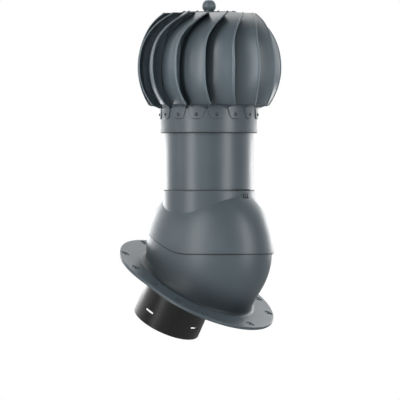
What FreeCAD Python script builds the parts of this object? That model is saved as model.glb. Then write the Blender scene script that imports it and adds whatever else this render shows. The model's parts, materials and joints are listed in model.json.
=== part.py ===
import FreeCAD, Part
import math
import os
import re

# Roof turbine ventilator: a fixed base on a pitched roof, a tilting cowl that stands
# the pipe upright, and a wind-driven rotor of fifteen vanes on top of the pipe.
# Row frame: origin at the centre of the flange on its underside, +Z along the rotor
# axis (upright), +X horizontal and down the roof, +Y along the tilt axis.

doc = FreeCAD.newDocument("RoofTurbineVentilator")
sheet = doc.addObject("Spreadsheet::Sheet", "Sizes")

# Driving dimensions in millimetres and degrees
SIZES = {
    # roof setting and pivot
    "roof_pitch_angle": 30, "pivot_height": 70, "pivot_upslope": 5,
    # flange and its screw holes, each hole by its distance in from the edge
    "flange_straight": 47, "flange_width": 265, "flange_thick": 5, "flange_round": 2,
    "hole_diameter": 5, "recess_diameter": 15, "recess_depth": 1.2,
    "end_hole_edge": 13, "middle_hole_edge": 19.5, "corner_hole_edge": 10.5,
    "corner_hole_angle": 47, "side_hole_edge": 16.5, "side_hole_angle": 73,
    # base dome and plinth
    "cowl_radius": 127.5, "cowl_side": 96.5, "shell_wall": 2.5, "dome_gap": 0.6,
    "foot_along": 114, "foot_across": 96, "foot_fillet": 5, "foot_start": 9,
    "skirt_travel_angle": 27, "pivot_flat": 8, "opening_height": 71, "opening_lean_angle": 15,
    # floor plate and spigot
    "floor_thick": 3, "ledge_width": 8, "seat_gap": 0.3,
    "spigot_radius": 62.5, "spigot_wall": 2.5, "spigot_reach": 92, "spigot_upslope": 22,
    "slot_length": 19, "slot_height": 4, "slot_rise": 24,
    "floor_screw_count": 6, "floor_screw_angle": 30, "floor_screw_radius": 2, "floor_screw_head": 4,
    "floor_screw_length": 6,
    # cowl
    "skirt_drop": 5, "skirt_rise_angle": 22, "skirt_corner": 120, "corner_downslope": 5,
    "neck_radius": 82.6, "neck_rise": 9.9, "neck_chamfer": 1,
    "stop_width": 1.8, "stud_radius": 2.5, "stud_length": 5,
    "latch_width": 18, "latch_height": 8.6, "latch_drop": 5, "latch_depth": 1.2, "latch_edge": 0.5,
    "rib_width": 2.2, "seal_height": 1.6,
    # pipe, by heights over the top of the neck from here on
    "pipe_radius": 80, "pipe_wall": 1, "socket_depth": 9, "pipe_top": 133, "fit": 0.05,
    # shaft and fixed spider
    "shaft_radius": 5, "shaft_tail": 4, "shaft_end": 10,
    "spider_height": 107, "spider_thick": 2, "arm_count": 3, "arm_width": 16, "arm_foot": 24,
    "fixed_arm_angle": 90, "rotor_arm_angle": 30,
    "hub_radius": 14, "hub_height": 22, "nut_radius": 8.5, "nut_height": 8,
    "spider_rivet_radius": 2.4, "spider_rivet_head": 4.5, "spider_rivet_dome": 1.5,
    "spider_rivet_rise": 16,
    # ball races
    "race_radius": 13, "race_split": 9.5, "race_height": 8, "lower_race": 143, "upper_race_drop": 22.5,
    "cup_wall": 2.5, "cup_lip": 1, "cup_rim": 42, "cup_rim_thick": 1.5,
    # collar
    "collar_radius": 86.2, "collar_wall": 0.7, "collar_bottom": 104.6, "collar_top": 146,
    "hem_width": 5, "hem_proud": 0.8,
    # vanes
    "vane_count": 15, "rotor_phase_angle": -41, "globe_radius": 129, "globe_height": 125,
    "globe_centre": 222, "vane_bottom": 154, "vane_top": 317.5, "vane_thick": 0.8,
    "vane_span_angle": 27, "root_inset": 24, "mid_lead_angle": 12, "top_lead_angle": 27,
    "bottom_lead_angle": 5, "vane_hem": 4.6, "hem_thick": 0.9,
    "tab_top": 146.5, "tab_height": 18.8, "tab_width_top": 32.6, "tab_width_bottom": 20,
    "tab_corner": 4, "tab_seat": 0.02, "tab_rivet_drop": 10.7,
    "rivet_radius": 2, "rivet_head": 3.15, "rivet_dome": 1.6, "rivet_tail": 0.6,
    # top plate and cap
    "disc_radius": 51, "disc_thick": 2, "disc_rivet_circle": 46, "disc_rivet_angle": 12,
    "disc_rivet_radius": 1.6, "disc_rivet_head": 2.5, "disc_rivet_dome": 1.1,
    "petal_inner": 34, "petal_gap": 0.5,
    "ball_radius": 12.5, "ball_rise": 10.4, "ball_neck": 8,
}

for row, (alias, amount) in enumerate(SIZES.items(), start=1):
    sheet.set("A%d" % row, alias)
    sheet.set("B%d" % row, str(amount))
    sheet.setAlias("B%d" % row, alias)
doc.recompute()

# Heights and places that follow from the sizes
FORMULAS = {
    "neck_top": "sqrt(cowl_radius ^ 2 - neck_radius ^ 2) + neck_rise",
    "end_centre": "flange_straight / 2",
    "dome_along": "cowl_radius - shell_wall - dome_gap",
    "dome_across": "cowl_side - shell_wall - dome_gap",
    "foot_reach": "pivot_height - flange_thick",
    "disc_low": "vane_top + vane_thick / 2",
    "disc_top": "disc_low + disc_thick",
    "hub_low": "spider_height - hub_height / 2",
    "hub_high": "spider_height + hub_height / 2",
    "upper_race": "vane_top - upper_race_drop",
    "shaft_bottom": "hub_low - nut_height - shaft_tail",
    "shaft_top": "upper_race + race_height + shaft_end",
    "tab_face": "collar_radius + tab_seat",
    "tab_low": "tab_top - tab_height",
    "tab_rivet_height": "tab_top - tab_rivet_drop",
}

# How finely the curved sheets are set out, and how sharply they turn
WALL_POINTS = 36
WALL_SECTIONS = 14
WALL_TOP_SHARE = 0.85
FILLET_STEPS = (90, 68, 45, 22)
FLARE_POWER = 3
VANE_SECTIONS = (0, 0.13, 0.28, 0.43, 0.57, 0.7, 0.81, 0.9, 0.96, 1)
VANE_STEPS = (0, 0.33, 0.67, 1)
BOTTOM_LEAD_POWER = 3
TOP_LEAD_POWER = 4
INSET_POWER = 1.15
END_INSET_SHARE = 0.8

NODES = {}
FRAMES = {}


# Helpers for sizes and objects

def bound(text):
    """Expression with every alias pointed at the sheet and every formula written out."""
    def spelt(match):
        word = match[0]
        if word in FORMULAS:
            return "(%s)" % bound(FORMULAS[word])
        return "Sizes." + word if word in SIZES else word
    return re.sub(r"[a-z_]+", spelt, str(text))


def val(text):
    """Number that a size or an expression of sizes gives."""
    return float(sheet.evalExpression(bound(text)))


def put(kind, name, at=("0", "0", "0"), turn=None, **sizes):
    """A primitive with its sizes and place bound to the sheet."""
    item = doc.addObject("Part::" + kind, name)
    for prop, text in sizes.items():
        item.setExpression(prop, bound(text))
    if turn is not None:
        item.Placement = FreeCAD.Placement(FreeCAD.Vector(), turn)
    for axis, text in zip("xyz", at):
        item.setExpression("Placement.Base." + axis, bound(text))
    return item


def rod(name, radius, bottom, top, x="0", y="0"):
    """Upright cylinder between two heights."""
    return put("Cylinder", name, (x, y, bottom), Radius=radius, Height="(%s) - (%s)" % (top, bottom))


def block(name, low, high):
    """Box between two corners given as expressions."""
    spans = ["(%s) - (%s)" % (b, a) for a, b in zip(low, high)]
    return put("Box", name, low, Length=spans[0], Width=spans[1], Height=spans[2])


def fuse(name, *parts):
    item = doc.addObject("Part::MultiFuse", name)
    item.Shapes = list(parts)
    return item


def cut(name, base, *tools):
    """Base less the tools."""
    item = doc.addObject("Part::Cut", name)
    item.Base = base
    item.Tool = tools[0] if len(tools) == 1 else fuse(name + "_tools", *tools)
    return item


def ring(name, outer, inner, bottom, top, x="0", y="0"):
    """Upright tube between two heights."""
    hollow = rod(name + "_bore", inner, bottom, top, x, y)
    return cut(name, rod(name + "_body", outer, bottom, top, x, y), hollow)


def repeated(name, source, count, start=0.0):
    """Copies of a shape evenly round the local Z axis, as separate solids."""
    doc.recompute()
    copies = []
    for k in range(count):
        copy = source.Shape.copy()
        copy.rotate(FreeCAD.Vector(), FreeCAD.Vector(0, 0, 1), start + 360.0 * k / count)
        copies.append(copy)
    item = doc.addObject("Part::Feature", name)
    item.Shape = Part.makeCompound(copies)
    return item


def node(label, item, frame):
    """Marks an object as a finished sub-part seated in its frame."""
    item.Label = label
    NODES[label] = item
    FRAMES[label] = frame
    return item


Y_AXIS = FreeCAD.Vector(0, 1, 0)
TO_SIDES = {side: FreeCAD.Rotation(FreeCAD.Vector(1, 0, 0), -90 * side) for side in (-1, 1)}
ORIGIN = ("0", "0", "0")


def oval(name, along, side, centre, seam=-90):
    """Ellipse turned about the tilt axis, with a small flat at each pivot."""
    middle = FreeCAD.Vector(*[val(text) for text in centre])
    span = math.acos(val("pivot_flat") / val(along))
    curve = Part.Arc(Part.Ellipse(middle, val(along), val(side)), -span, span)
    reach = FreeCAD.Vector(0, curve.EndPoint.y - middle.y, 0)
    corners = [curve.EndPoint, middle + reach, middle - reach, curve.StartPoint]
    edges = [curve.toShape()] + [Part.LineSegment(a, b).toShape() for a, b in zip(corners, corners[1:])]
    solid = Part.Face(Part.Wire(edges)).revolve(middle, Y_AXIS, 360)
    # the seam goes where the oval is cut away
    solid.rotate(middle, Y_AXIS, seam)
    item = doc.addObject("Part::Feature", name)
    item.Shape = solid
    return item


def oval_prism(name, along, across, bottom, top):
    """Upright prism with an elliptical section centred on the flange."""
    curve = put("Ellipse", name + "_line", ("0", "0", bottom), MajorRadius=along, MinorRadius=across)
    item = doc.addObject("Part::Extrusion", name)
    item.Base = curve
    item.DirMode = "Custom"
    item.Dir = FreeCAD.Vector(0, 0, 1)
    item.Solid = True
    item.setExpression("LengthFwd", bound("(%s) - (%s)" % (top, bottom)))
    return item


# Base: flange, plinth and dome in one moulding, in the roof's own frame
# (origin at the row origin, local Z along the roof normal, local X down the roof)

PIVOT_IN_BASE = ("-pivot_upslope", "0", "pivot_height")


def flange_plate():
    """Stadium-shaped plate: two round ends with a straight stretch between."""
    middle = block("flange_middle", ("-end_centre", "-flange_width / 2", "0"),
                   ("end_centre", "flange_width / 2", "flange_thick"))
    ends = [rod("flange_end_%d" % k, "flange_width / 2", "0", "flange_thick", x="%d * end_centre" % k)
            for k in (-1, 1)]
    plate = fuse("flange_plate", middle, *ends)
    plate.Refine = True
    return plate


def screw_places():
    """Centres of the twelve roof screws, each set in from the flange's edge, as pairs of expressions."""
    places = []
    for side in ("", "-"):
        places.append((side + "(end_centre + flange_width / 2 - end_hole_edge)", "0"))
        places.append(("0", side + "(flange_width / 2 - middle_hole_edge)"))
        for across in ("", "-"):
            for hole in ("corner_hole", "side_hole"):
                reach = "(flange_width / 2 - %s_edge)" % hole
                places.append(("%s(end_centre + %s * cos(%s_angle))" % (side, reach, hole),
                               "%s(%s * sin(%s_angle))" % (across, reach, hole)))
    return places


def wall_point(turn, z, inset):
    """Point of the base's wall at a height: the dome's ellipse, led out to the foot's oval below
    the room that the cowl's skirt sweeps, with the fillet to the flange at the end."""
    along, across = val("dome_along") - inset, val("dome_across") - inset
    reach = val("foot_reach")
    depth = min(val("pivot_height") - z, reach)
    share = math.sqrt(1 - (depth / along) ** 2)
    foot_share = math.sqrt(1 - (reach / along) ** 2)
    x = along * share * math.cos(turn) - val("pivot_upslope")
    y = across * share * math.sin(turn)
    upper_end = -along * foot_share - val("pivot_upslope")
    lower_end = val("foot_along") - inset
    foot_x = (lower_end + upper_end) / 2 + (lower_end - upper_end) / 2 * math.cos(turn)
    foot_y = (val("foot_across") - inset) * math.sin(turn)
    lead_x = foot_x - (along * foot_share * math.cos(turn) - val("pivot_upslope"))
    lead_y = foot_y - across * foot_share * math.sin(turn)
    upslope = -along * foot_share * math.cos(turn)
    start = val("foot_start") + math.tan(math.radians(val("skirt_travel_angle"))) * max(upslope, 0)
    led = min(max((depth - start) / max(reach - start, 1), 0), 1) ** FLARE_POWER
    return FreeCAD.Vector(x + lead_x * led, y + lead_y * led, z)


def wall_wire(z, inset, fillet=0.0):
    """Closed smooth section of the base's wall, set out by the fillet's offset."""
    points = []
    for k in range(WALL_POINTS):
        turn = 2 * math.pi * k / WALL_POINTS
        point = wall_point(turn, z, inset)
        points.append(point + FreeCAD.Vector(math.cos(turn), math.sin(turn), 0) * fillet)
    curve = Part.BSplineCurve()
    curve.interpolate(points, PeriodicFlag=True)
    return Part.Wire(curve.toShape())


def wall_solid(name, heights, inset, fillet):
    """Solid lofted through the wall's sections, with its foot spread by a fillet that runs
    down through the flange."""
    top = val("flange_thick")
    wires = [wall_wire(0, inset, fillet)] if fillet else []
    for angle in FILLET_STEPS if fillet else ():
        out, up = 1 - math.cos(math.radians(angle)), 1 - math.sin(math.radians(angle))
        wires.append(wall_wire(top + fillet * up, inset, fillet * out))
    wires += [wall_wire(z, inset) for z in heights]
    item = doc.addObject("Part::Feature", name)
    if fillet:
        foot = Part.makeLoft(wires[:2], True, True)
        item.Shape = foot.fuse(Part.makeLoft(wires[1:], True, False))
    else:
        item.Shape = Part.makeLoft(wires, True, False)
    return item


def above_opening():
    """All above the leaning plane at which the base's dome stops, for cutting."""
    reach = 2 * val("cowl_radius")
    lean = FreeCAD.Rotation(Y_AXIS, -val("opening_lean_angle"))
    item = doc.addObject("Part::Box", "above_opening")
    for span in ("Length", "Width", "Height"):
        item.setExpression(span, bound("4 * cowl_radius"))
    item.Placement = FreeCAD.Placement(
        FreeCAD.Vector(-val("pivot_upslope"), 0, val("pivot_height"))
        + lean.multVec(FreeCAD.Vector(-reach, -reach, val("opening_height"))), lean)
    return item


def base_shell():
    plate = flange_plate()
    doc.recompute()
    rim = [(i, val("flange_round"), val("flange_round")) for i, edge in enumerate(plate.Shape.Edges, start=1)
           if edge.BoundBox.ZLength < 0.01 and abs(edge.BoundBox.ZMin - val("flange_thick")) < 0.01]
    rounded = doc.addObject("Part::Fillet", "flange_rounded")
    rounded.Base = plate
    rounded.Edges = rim
    low, fillet = val("flange_thick"), val("foot_fillet")
    rise = val("pivot_height") + WALL_TOP_SHARE * val("dome_along") - low - fillet
    steps = [low + fillet + rise * k / WALL_SECTIONS for k in range(WALL_SECTIONS + 1)]
    wall = wall_solid("wall_form", steps, 0, fillet)
    hollow = wall_solid("wall_hollow", [low] + steps, val("shell_wall"), 0)
    through = oval_prism("ledge_opening", "foot_along - shell_wall - ledge_width",
                         "foot_across - shell_wall - ledge_width", "-1", "flange_thick + 1")
    seat = oval_prism("floor_seat", "foot_along - shell_wall", "foot_across - shell_wall",
                      "-1", "floor_thick")
    tools = [above_opening(), hollow, through, seat]
    for k, (x, y) in enumerate(screw_places()):
        tools.append(rod("roof_hole_%d" % k, "hole_diameter / 2", "-1", "flange_thick + 1", x, y))
        tools.append(rod("roof_recess_%d" % k, "recess_diameter / 2", "flange_thick - recess_depth",
                         "flange_thick + 1", x, y))
    for k, (x, y) in enumerate(floor_screw_places()):
        tools.append(rod("ledge_hole_%d" % k, "floor_screw_radius", "-1", "flange_thick + 1", x, y))
    for side, turn in TO_SIDES.items():
        tools.append(put("Cylinder", "stud_hole_%d" % side, PIVOT_IN_BASE, turn,
                         Radius="stud_radius + fit", Height="2 * cowl_side"))
    solid = fuse("base_form", rounded, wall)
    return node("base_shell", cut("base_shell_cut", solid, *tools), "base")


def floor_screw_places():
    """Screws round the ledge, on an oval midway across it."""
    places = []
    count = int(val("floor_screw_count"))
    for k in range(count):
        angle = "(floor_screw_angle + %d * 360 / %d)" % (k, count)
        inset = "(shell_wall + ledge_width / 2)"
        places.append(("(foot_along - %s) * cos(%s)" % (inset, angle),
                       "(foot_across - %s) * sin(%s)" % (inset, angle)))
    return places


def duct_spigot():
    """Floor plate of the base with the duct spigot below it."""
    x = "-pivot_upslope - spigot_upslope"
    plate = oval_prism("floor_plate", "foot_along - shell_wall - seat_gap",
                       "foot_across - shell_wall - seat_gap", "0", "floor_thick")
    tube = rod("spigot_tube", "spigot_radius", "-spigot_reach", "floor_thick", x)
    body = fuse("spigot_form", plate, tube)
    tools = [rod("spigot_bore", "spigot_radius - spigot_wall", "-spigot_reach - 1",
                 "floor_thick + 1", x)]
    middle = "-spigot_reach + slot_rise"
    for name, long_x, long_y in (("across", "2 * spigot_radius", "slot_length / 2"),
                                 ("along", "slot_length / 2", "2 * spigot_radius")):
        tools.append(block("slot_" + name,
                           ("%s - (%s)" % (x, long_x), "-(%s)" % long_y, middle + " - slot_height / 2"),
                           ("%s + (%s)" % (x, long_x), long_y, middle + " + slot_height / 2")))
    for k, (sx, sy) in enumerate(floor_screw_places()):
        tools.append(rod("floor_hole_%d" % k, "floor_screw_radius", "-1", "floor_thick + 1", sx, sy))
        tools.append(put("Cone", "floor_sink_%d" % k, (sx, sy, "0"), Radius1="floor_screw_head",
                         Radius2="floor_screw_radius", Height="floor_screw_head - floor_screw_radius"))
    return node("duct_spigot", cut("duct_spigot_cut", body, *tools), "base")


def floor_screws():
    """Countersunk screws that hold the floor plate to the ledge."""
    parts = []
    for k, (sx, sy) in enumerate(floor_screw_places()):
        shank = rod("floor_screw_shank_%d" % k, "floor_screw_radius", "0", "floor_screw_length", sx, sy)
        head = put("Cone", "floor_screw_head_%d" % k, (sx, sy, "0"), Radius1="floor_screw_head",
                   Radius2="floor_screw_radius", Height="floor_screw_head - floor_screw_radius")
        parts.append(fuse("floor_screw_%d" % k, shank, head))
    group = doc.addObject("Part::Compound", "floor_screw_group")
    group.Links = parts
    return node("floor_screws", group, "base")


# Cowl: tilting shell with neck and latch, in the pivot's frame (origin at the pivot
# centre, local Z upright); all above it stands in the mast's frame, at the top of the neck

def below_skirt():
    """All below the skirt's edge, which is level down the roof and rises up the roof by a wide curve."""
    angle, radius = math.radians(val("skirt_rise_angle")), val("skirt_corner")
    tangent = radius * math.tan(angle / 2)
    corner = FreeCAD.Vector(val("corner_downslope"), -2 * val("cowl_radius"), -val("skirt_drop"))
    level, rising = FreeCAD.Vector(1, 0, 0), FreeCAD.Vector(-math.cos(angle), 0, math.sin(angle))
    far = 3 * val("cowl_radius")
    ends = [corner + level * tangent, corner + rising * tangent]
    centre = ends[0] + FreeCAD.Vector(0, 0, radius)
    middle = centre + FreeCAD.Vector(-math.sin(angle / 2), 0, -math.cos(angle / 2)) * radius
    right, left = corner + level * far, corner + rising * far
    deep = FreeCAD.Vector(0, 0, -far)
    outline = [right, right + deep, FreeCAD.Vector(left.x, left.y, (right + deep).z), left]
    edges = [Part.LineSegment(a, b).toShape() for a, b in zip(outline, outline[1:])]
    edges += [Part.LineSegment(left, ends[1]).toShape(), Part.Arc(ends[1], middle, ends[0]).toShape(),
              Part.LineSegment(ends[0], right).toShape()]
    item = doc.addObject("Part::Feature", "below_skirt")
    item.Shape = Part.Face(Part.Wire(edges)).extrude(FreeCAD.Vector(0, 4 * val("cowl_radius"), 0))
    return item


def cowl_shell():
    dome = oval("cowl_form", "cowl_radius", "cowl_side", ORIGIN, 90)
    neck = rod("neck_form", "neck_radius", "0", "neck_top")
    doc.recompute()
    chamfered = doc.addObject("Part::Chamfer", "neck_chamfered")
    chamfered.Base = neck
    top_edge = [i for i, e in enumerate(neck.Shape.Edges, start=1)
                if abs(e.BoundBox.ZMin - val("neck_top")) < 0.01]
    chamfered.Edges = [(top_edge[0], val("neck_chamfer"), val("neck_chamfer"))]
    body = fuse("cowl_body", dome, chamfered)
    hollow = oval("cowl_hollow", "cowl_radius - shell_wall", "cowl_side - shell_wall", ORIGIN, 90)
    stop_bore = rod("stop_bore", "pipe_radius - stop_width", "0", "2 * cowl_radius")
    socket = rod("pipe_socket", "pipe_radius + fit", "neck_top - socket_depth", "2 * cowl_radius")
    window = block("latch_window",
                   ("neck_radius - latch_depth", "-latch_width / 2", "neck_top - latch_drop - latch_height"),
                   ("2 * neck_radius", "latch_width / 2", "neck_top - latch_drop"))
    shell = cut("cowl_walls", body, below_skirt(), hollow, stop_bore, socket, window)
    studs = []
    for side, turn in TO_SIDES.items():
        start = "%d * (cowl_side - shell_wall / 2 - stud_length)" % side
        studs.append(put("Cylinder", "stud_%d" % side, ("0", start, "0"), turn,
                         Radius="stud_radius", Height="stud_length"))
    return node("cowl_shell", fuse("cowl_shell_form", shell, *studs), "cowl")


def neck_latch():
    """Small clip in the window of the neck, with one upright rib."""
    low, high = "neck_top - latch_drop - latch_height", "neck_top - latch_drop"
    face = "neck_radius - latch_depth"
    rib = block("latch_rib", (face, "-rib_width / 2", low + " + latch_edge"),
                ("neck_radius", "rib_width / 2", high + " - latch_edge"))
    pad = block("latch_pad", (face, "-latch_width / 2 + 2 * latch_edge", low + " + 2 * latch_edge"),
                (face + " + latch_depth / 2", "latch_width / 2 - 2 * latch_edge", high + " - 2 * latch_edge"))
    return node("neck_latch", fuse("neck_latch_form", pad, rib), "cowl")


def pipe_seal():
    """Rubber ring on top of the neck round the pipe."""
    item = ring("pipe_seal_ring", "neck_radius - neck_chamfer", "pipe_radius + fit", "0", "seal_height")
    return node("pipe_seal", item, "mast")


def spider_drills(name):
    """Holes through the pipe and the feet of the fixed spider."""
    drill = put("Cylinder", name + "_drill_form",
                ("pipe_radius - 3 * spider_thick", "0", "spider_height + spider_rivet_rise"),
                FreeCAD.Rotation(Y_AXIS, 90), Radius="spider_rivet_radius", Height="6 * spider_thick")
    return repeated(name + "_drills", drill, int(val("arm_count")), val("fixed_arm_angle"))


def vent_pipe():
    tube = ring("vent_pipe_tube", "pipe_radius", "pipe_radius - pipe_wall", "-socket_depth", "pipe_top")
    return node("vent_pipe", cut("vent_pipe_cut", tube, spider_drills("pipe")), "mast")


def pipe_spider():
    """Arms across the pipe with feet riveted to it and a hub for the shaft."""
    inside = "pipe_radius - pipe_wall"
    foot_top = "spider_height + arm_foot"
    arm = block("arm_form", ("0", "-arm_width / 2", "spider_height"),
                (inside, "arm_width / 2", "spider_height + spider_thick"))
    foot = block("arm_foot_form", (inside + " - spider_thick", "-arm_width / 2", "spider_height"),
                 (inside, "arm_width / 2", foot_top))
    trimmed = doc.addObject("Part::Common", "arm_trimmed")
    trimmed.Base = fuse("arm_blank", arm, foot)
    trimmed.Tool = rod("arm_trim", inside, "spider_height", foot_top)
    arms = repeated("arm_set", trimmed, int(val("arm_count")), val("fixed_arm_angle"))
    body = fuse("spider_form", arms, rod("spider_hub", "hub_radius", "hub_low", "hub_high"))
    bore = rod("spider_bore", "shaft_radius", "shaft_bottom", "shaft_top")
    return node("pipe_spider", cut("pipe_spider_cut", body, bore, spider_drills("spider")), "mast")


def shaft():
    return node("shaft", rod("shaft_form", "shaft_radius", "shaft_bottom", "shaft_top"), "mast")


def shaft_nuts():
    """Nuts above and below the hub that clamp the shaft."""
    parts = []
    for name, low in (("lower", "hub_low - nut_height"), ("upper", "hub_high")):
        prism = put("Prism", name + "_nut_form", ("0", "0", low), Circumradius="nut_radius",
                    Height="nut_height")
        bore = rod(name + "_nut_bore", "shaft_radius", "shaft_bottom", "shaft_top")
        parts.append(cut(name + "_nut", prism, bore))
    group = doc.addObject("Part::Compound", "nut_group")
    group.Links = parts
    return node("shaft_nuts", group, "mast")


def bearing(which):
    """Inner race on the shaft and outer race in the rotor, at one height."""
    low = which + "_race"
    high = low + " + race_height"
    inner = ring(which + "_inner", "race_split - fit", "shaft_radius", low, high)
    outer = ring(which + "_outer", "race_radius", "race_split + fit", low, high)
    node(which + "_bearing_inner_race", inner, "mast")
    node(which + "_bearing_outer_race", outer, "mast")


# Rotor: collar, spider, vanes, top plate and cap, turning about the upright axis
# in the mast's frame

def rotor_collar():
    """Rolled ring with a hem at its lower edge, drilled for the vane rivets."""
    skirt = ring("collar_skirt", "collar_radius", "collar_radius - collar_wall",
                 "collar_bottom", "collar_top")
    hem = ring("collar_hem", "collar_radius + hem_proud", "collar_radius - collar_wall / 2",
               "collar_bottom", "collar_bottom + hem_width")
    body = fuse("collar_form", skirt, hem)
    shank = put("Cylinder", "collar_drill_form", ("collar_radius / 2", "0", "tab_rivet_height"),
                FreeCAD.Rotation(Y_AXIS, 90), Radius="rivet_radius", Height="collar_radius")
    drill = repeated("collar_drill", shank, int(val("vane_count")), val("rotor_phase_angle"))
    return node("rotor_collar", cut("rotor_collar_cut", body, drill), "mast")


def rotor_spider():
    """Arms from the collar to the lower bearing housing."""
    inside = "collar_radius - collar_wall"
    low, high = "lower_race + race_height / 2", "lower_race + race_height + cup_lip"
    arm = block("rotor_arm_form", ("0", "-arm_width / 2", low), (inside, "arm_width / 2", low + " + spider_thick"))
    blank = doc.addObject("Part::Common", "rotor_arm_trimmed")
    blank.Base = arm
    blank.Tool = rod("rotor_arm_trim", inside, "lower_race", high)
    arms = repeated("rotor_arm_set", blank, int(val("arm_count")), val("rotor_arm_angle"))
    housing = rod("rotor_housing", "race_radius + cup_wall", "lower_race", high)
    body = fuse("rotor_spider_form", arms, housing)
    seat = rod("rotor_seat", "race_radius", "lower_race", "lower_race + race_height")
    bore = rod("rotor_bore", "race_split + cup_lip", "lower_race", high)
    return node("rotor_spider", cut("rotor_spider_cut", body, seat, bore), "mast")


def globe_reach(z):
    """Radius of the globe of vanes at a height."""
    share = (z - val("globe_centre")) / val("globe_height")
    return val("globe_radius") * math.sqrt(max(0.0, 1 - share * share))


def vane_point(u, z, proud=0.0):
    """Point of the vane at a height: u runs from the free edge, 0, to the root, 1."""
    low, mid, high = val("vane_bottom"), val("globe_centre"), val("vane_top")
    if z < mid:
        lead = val("mid_lead_angle") + val("bottom_lead_angle") * ((mid - z) / (mid - low)) ** BOTTOM_LEAD_POWER
    else:
        lead = val("mid_lead_angle") + val("top_lead_angle") * ((z - mid) / (high - mid)) ** TOP_LEAD_POWER
    rise = (z - low) / (high - low)
    inset = val("root_inset") * (END_INSET_SHARE + (1 - END_INSET_SHARE) * math.sin(math.pi * rise))
    radius = globe_reach(z) + proud - inset * u ** INSET_POWER
    angle = math.radians(lead - val("vane_span_angle") * u)
    return FreeCAD.Vector(radius * math.cos(angle), radius * math.sin(angle), z)


def facet(*corners):
    return Part.Face(Part.makePolygon(list(corners) + [corners[0]]))


def skinned(loops):
    """Solid through closed loops of points, in flat facets, with flat ends."""
    faces = [facet(*loops[0]), facet(*loops[-1])]
    for lower, upper in zip(loops, loops[1:]):
        for k in range(len(lower)):
            a, b = lower[k], lower[(k + 1) % len(lower)]
            c, d = upper[(k + 1) % len(lower)], upper[k]
            faces += [facet(a, b, c), facet(a, c, d)]
    shell = Part.Shell(faces)
    shell.sewShape()
    solid = Part.Solid(shell)
    if solid.Volume < 0:
        solid.reverse()
    return solid


def section_steps():
    """Shares of the vane's span for its sections: the hem's width, then on to the root."""
    hem = val("vane_hem") / (math.radians(val("vane_span_angle")) * val("globe_radius"))
    return hem, [hem + (1 - hem) * share for share in VANE_STEPS]


def vane_section(z):
    """Loop at one height: hem, outer face to the root, inner face back to the free edge."""
    thick, proud = val("vane_thick"), val("hem_thick")
    hem, steps = section_steps()
    outer = [vane_point(0, z, proud), vane_point(hem, z, proud)] + [vane_point(u, z) for u in steps]
    inner = [vane_point(u, z, -thick) for u in reversed(steps)] + [vane_point(0, z, -thick)]
    return outer + inner


def fold_section():
    """Loop where the sheet folds down into the tab, on the collar's round."""
    half = val("tab_width_top") / 2 / val("collar_radius")
    hem, steps = section_steps()

    def around(radius, shares):
        angles = [half * (1 - 2 * u) for u in shares]
        return [FreeCAD.Vector(radius * math.cos(a), radius * math.sin(a), val("tab_top")) for a in angles]

    outer = around(val("tab_face + vane_thick"), [0, hem / 2] + steps)
    return outer + around(val("tab_face"), list(reversed(steps)) + [0])


def vane_blade():
    """Blade skinned from the fold up through sections, close together where the globe turns most."""
    low, high = val("vane_bottom"), val("vane_top")
    return skinned([fold_section()] + [vane_section(low + (high - low) * share) for share in VANE_SECTIONS])


def vane_petal():
    """Flat end of the vane under the top plate."""
    z = val("vane_top - vane_thick / 2")
    pitch = 360.0 / val("vane_count")
    outer = [vane_point(u, z) for u in VANE_STEPS]
    root = outer[-1]
    lead = math.degrees(math.atan2(root.y, root.x))

    def polar(radius, angle):
        a = math.radians(angle)
        return FreeCAD.Vector(radius * math.cos(a), radius * math.sin(a), z)

    beside = lead + pitch - val("petal_gap")
    corner = polar(math.hypot(root.x, root.y) + val("petal_gap"), beside)
    face = facet(*outer, polar(val("petal_inner"), lead), polar(val("petal_inner"), beside), corner)
    return face.extrude(FreeCAD.Vector(0, 0, val("vane_thick")))


def tab_plate():
    """Riveted tab, a rounded trapezoid rolled to the collar."""
    inner = val("tab_face")
    outer = inner + val("vane_thick")
    top, low = val("tab_top + vane_thick / 2"), val("tab_low")
    roll = Part.makeCylinder(outer, top - low, FreeCAD.Vector(0, 0, low))
    roll = roll.cut(Part.makeCylinder(inner, top - low, FreeCAD.Vector(0, 0, low)))
    wide, narrow, corner = val("tab_width_top / 2"), val("tab_width_bottom / 2"), val("tab_corner")
    start, depth = inner / 2, FreeCAD.Vector(inner, 0, 0)
    points = [FreeCAD.Vector(start, y, z) for y, z in ((-wide, top), (wide, top), (narrow, low), (-narrow, low))]
    prism = Part.Face(Part.makePolygon(points + points[:1])).extrude(depth)
    lower = [e for e in prism.Edges if e.BoundBox.XLength > inner / 2 and e.BoundBox.ZMax < (low + top) / 2]
    return roll.common(prism.makeFillet(corner, lower))


def vanes():
    """One vane blank, repeated round the rotor as separate pieces."""
    blank = vane_blade()
    for part in (tab_plate(), vane_petal()):
        blank = blank.fuse(part)
    drill = Part.makeCylinder(val("rivet_radius"), val("collar_radius"),
                              FreeCAD.Vector(val("collar_radius / 2"), 0, val("tab_rivet_height")),
                              FreeCAD.Vector(1, 0, 0))
    blank = blank.cut(drill)
    count = int(val("vane_count"))
    for k in range(count):
        item = doc.addObject("Part::Feature", "vane_%02d" % (k + 1))
        copy = blank.copy()
        copy.rotate(FreeCAD.Vector(), FreeCAD.Vector(0, 0, 1), val("rotor_phase_angle") + 360.0 * k / count)
        item.Shape = copy
        node("vane_%02d" % (k + 1), item, "mast")


def rivet(shank_radius, head_radius, head_height, grip):
    """Domed rivet along +Z: shank below the origin, head above it."""
    ball = (head_radius ** 2 + head_height ** 2) / (2 * head_height)
    dome = Part.makeSphere(ball, FreeCAD.Vector(0, 0, head_height - ball))
    slab = Part.makeCylinder(head_radius + 1, head_height + 1)
    head = dome.common(slab)
    shank = Part.makeCylinder(shank_radius, grip, FreeCAD.Vector(0, 0, -grip))
    return head.fuse(shank).removeSplitter()


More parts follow.
